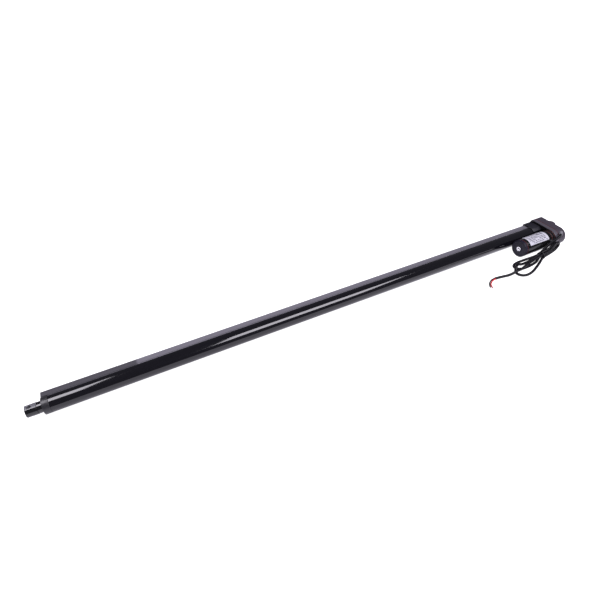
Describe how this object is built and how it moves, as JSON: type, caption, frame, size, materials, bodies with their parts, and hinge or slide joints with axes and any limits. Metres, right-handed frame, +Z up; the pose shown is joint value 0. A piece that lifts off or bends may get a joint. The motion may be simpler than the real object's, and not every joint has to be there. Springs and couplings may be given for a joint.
{
  "type": "linear actuator",
  "caption": "Electric linear actuator: a motor beside the tube drives a lead screw through a gearbox and pushes a round rod out of a long aluminium tube; pin holes at both ends.",
  "frame": {"origin": "on the ground under the middle of the retracted actuator's box, its cable and gland left out", "axes": "+X from the rod's end along the tube to the gearbox, +Y across it from the motor's side to the tube's side, +Z up, out of the label's side"},
  "size_m": [1.2036, 0.1289, 0.0447],
  "materials": {
    "black_anodised": "glossy black anodised",
    "black_paint": "satin black paint",
    "dark_plastic": "matt dark grey",
    "red_rubber": "matt red",
    "black_rubber": "matt black",
    "steel": "machined",
    "bright_steel": "ground",
    "brass": "turned",
    "copper": "enamelled copper",
    "nylon": "moulded",
    "ferrite": "sintered",
    "carbon": "pressed carbon",
    "label": "printed film",
    "circuit_board": "solder mask",
    "red_wire": "insulation",
    "tin": "tinned copper"
  },
  "bodies": {
    "housing": {"outer_tube": "black_anodised", "channel_plug": "dark_plastic", "front_cap": "dark_plastic", "rod_wiper": "black_rubber", "guide_bush": "nylon", "limit_switch_strip": "circuit_board", "front_limit_switch": "dark_plastic", "rear_limit_switch": "dark_plastic", "screw_bearing": "bright_steel", "tube_adapter": "black_paint", "gearbox_front_housing": "black_paint", "gearbox_gasket": "red_rubber", "gearbox_rear_cover": "black_paint", "cover_screw_1": "steel", "cover_screw_2": "steel", "cover_screw_3": "steel", "cover_screw_4": "steel", "rear_bush": "brass", "intermediate_pin": "steel", "motor_end_cap": "dark_plastic", "motor_end_bearing": "bright_steel", "end_cap_gasket": "red_rubber", "motor_can": "black_paint", "flange_gasket": "red_rubber", "motor_flange": "black_paint", "motor_gasket": "red_rubber", "motor_front_bearing": "bright_steel", "motor_label": "label", "magnet_upper": "ferrite", "magnet_lower": "ferrite", "brush_plate": "dark_plastic", "brush_near": "carbon", "brush_far": "carbon", "cable_gland": "black_rubber", "cable": "black_rubber", "cable_tie": "dark_plastic", "red_wire": "red_wire", "black_wire": "black_rubber", "red_wire_tip": "tin", "black_wire_tip": "tin"},
    "rotor": {"armature_core": "steel", "motor_shaft": "steel", "motor_pinion": "steel", "winding_front": "copper", "winding_rear": "copper", "commutator": "copper"},
    "intermediate": {"intermediate_gear": "steel"},
    "screw": {"lead_screw": "steel", "screw_end_washer": "steel", "output_gear": "nylon", "gear_circlip": "steel"},
    "rod": {"extension_tube": "black_anodised", "rod_end": "steel", "drive_nut": "brass"}
  },
  "joints": [
    {"name": "rod_slide", "type": "slide", "parent": "housing", "child": "rod", "axis": [-1, 0, 0], "range_m": [0, 1]},
    {"name": "lead_screw_spin", "type": "hinge", "parent": "housing", "child": "screw", "pos_m": [0.55475, 0.01675, 0.021], "axis": [1, 0, 0], "range_deg": [-1, 90001]},
    {"name": "intermediate_gear_spin", "type": "hinge", "parent": "housing", "child": "intermediate", "pos_m": [0.55475, -0.00525, 0.021], "axis": [1, 0, 0], "range_deg": [-306001, 1]},
    {"name": "motor_rotor_spin", "type": "hinge", "parent": "housing", "child": "rotor", "pos_m": [0.49975, -0.01925, 0.021], "axis": [1, 0, 0], "range_deg": [-1, 884001]}
  ],
  "couplings": [
    {"joint": "lead_screw_spin", "follows": "rod_slide", "rad_per_m": 1570.8},
    {"joint": "intermediate_gear_spin", "follows": "rod_slide", "rad_per_m": -5340.7},
    {"joint": "motor_rotor_spin", "follows": "rod_slide", "rad_per_m": 15429}
  ]
}
